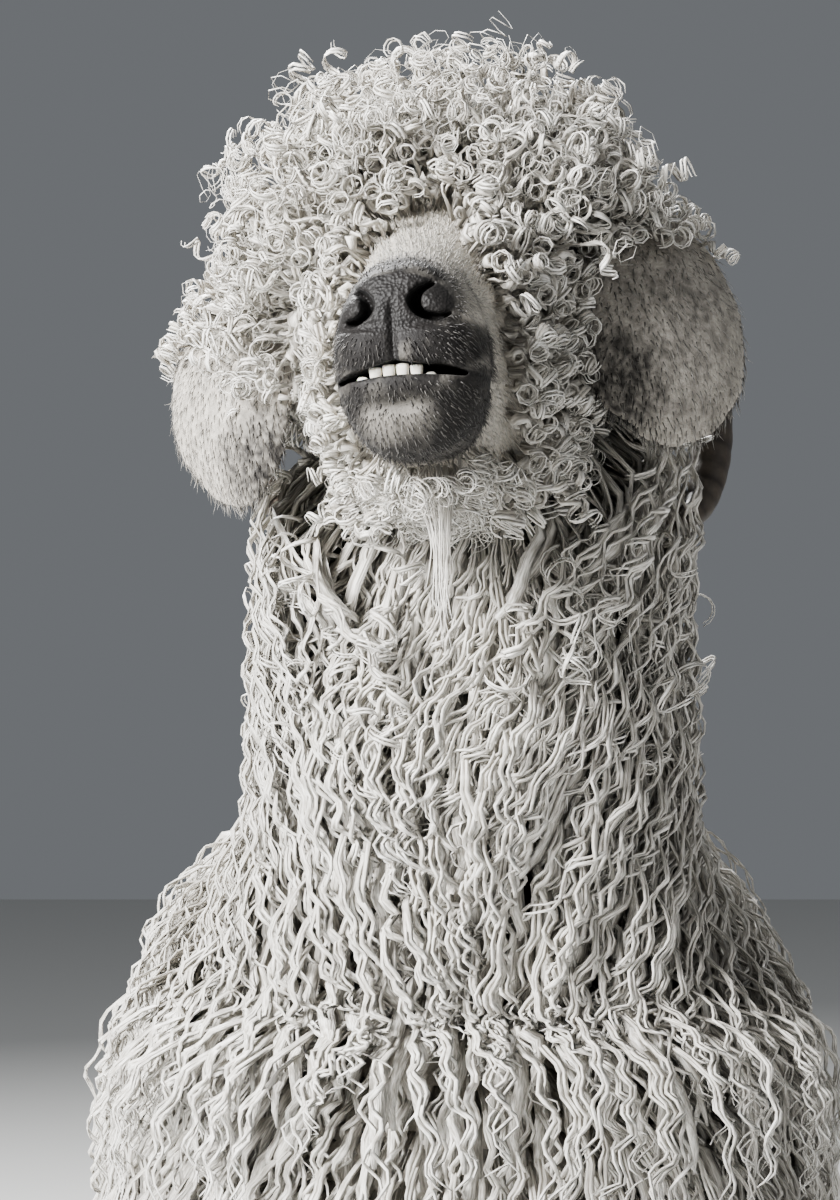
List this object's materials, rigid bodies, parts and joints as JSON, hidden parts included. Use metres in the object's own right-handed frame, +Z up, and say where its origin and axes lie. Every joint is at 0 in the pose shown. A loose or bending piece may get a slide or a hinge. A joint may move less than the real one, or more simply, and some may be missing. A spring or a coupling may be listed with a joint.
{
  "type": "angora goat",
  "caption": "Life-size model of an Angora goat doe in full curly fleece, standing square with her head held up.",
  "frame": {"origin": "on the floor, under the middle of the whole animal's outline", "axes": "+Z up, -Y the way the goat faces, +X her left side"},
  "size_m": [0.3842, 0.9376, 0.9558],
  "materials": {
    "mohair": "lustrous curled mohair locks, off-white",
    "face": "short white hair, dark bare skin on the nose and lips, ringlets on the poll",
    "shank": "short flat white hair with small curls",
    "ear": "short soft hair over thin skin, freckled grey",
    "horn": "ridged keratin, dark grey brown",
    "eye": "wet, amber iris with a level pupil",
    "tooth": "smooth enamel",
    "hoof": "worn keratin, dark"
  },
  "bodies": {
    "root": {"neck": "mohair", "torso": "mohair", "tail": "mohair", "fore_leg_left": "mohair", "fore_leg_right": "mohair", "hind_leg_left": "mohair", "hind_leg_right": "mohair", "head": "face", "fore_shank_left": "shank", "fore_shank_right": "shank", "hind_shank_left": "shank", "hind_shank_right": "shank", "ear_left": "ear", "ear_right": "ear", "horn_left": "horn", "horn_right": "horn", "eye_left": "eye", "eye_right": "eye", "incisors": "tooth", "fore_hoof_left_inner": "hoof", "fore_hoof_left_outer": "hoof", "fore_hoof_right_inner": "hoof", "fore_hoof_right_outer": "hoof", "hind_hoof_left_inner": "hoof", "hind_hoof_left_outer": "hoof", "hind_hoof_right_inner": "hoof", "hind_hoof_right_outer": "hoof"}
  },
  "joints": []
}
